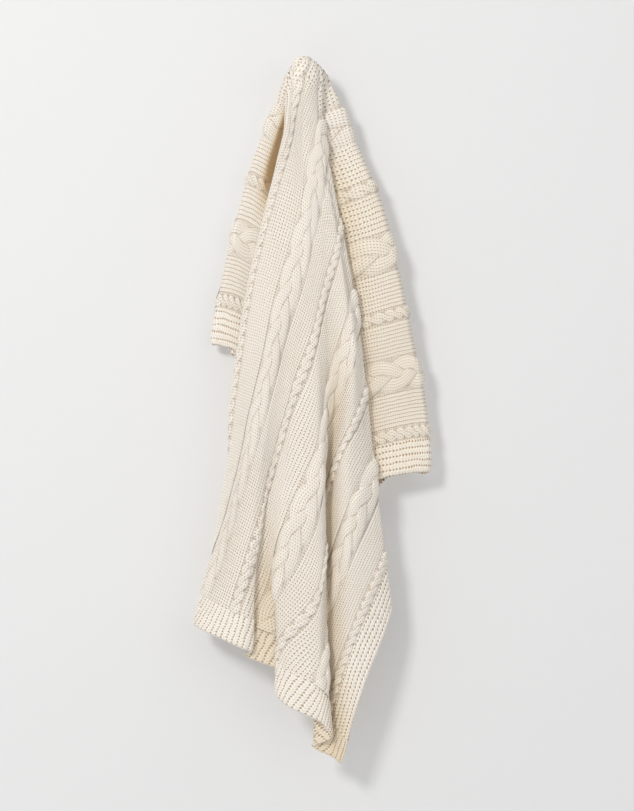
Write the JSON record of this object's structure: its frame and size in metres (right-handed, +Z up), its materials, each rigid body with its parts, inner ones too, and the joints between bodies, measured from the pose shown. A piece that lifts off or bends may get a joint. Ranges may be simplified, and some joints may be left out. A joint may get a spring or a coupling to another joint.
{
  "type": "hanging knitted throw blanket",
  "caption": "Cream cable-knit throw hung over a wall peg, with a gathered crown, a long folded front drop, two side flaps and ribbed edges.",
  "frame": {"origin": "where the inside of the crown rests on top of the wall peg", "axes": "+Z up, +X to the right of a person facing the wall, -Y out from the wall towards that person"},
  "size_m": [0.4685, 0.1196, 1.4127],
  "materials": {
    "ivory_knit": "chunky cotton stockinette and cables, matt",
    "ivory_rib": "chunky cotton rib, matt"
  },
  "bodies": {
    "hung_cloth": {"crown": "ivory_knit", "right_inner_pleat": "ivory_knit", "right_flap": "ivory_knit", "right_flap_border": "ivory_rib", "left_inner_pleat": "ivory_knit", "left_flap": "ivory_knit", "left_flap_border": "ivory_rib", "back_drop_inner": "ivory_knit", "back_drop_middle": "ivory_knit", "back_drop_outer": "ivory_knit"},
    "front_drop": {"front_left_lobe": "ivory_knit", "front_left_hem": "ivory_rib", "front_right_lobe": "ivory_knit", "front_right_border": "ivory_rib"}
  },
  "joints": [
    {"name": "front_lift", "type": "hinge", "parent": "hung_cloth", "child": "front_drop", "pos_m": [0, 0, 0], "axis": [-1, 0, 0], "range_deg": [0, 10]}
  ]
}
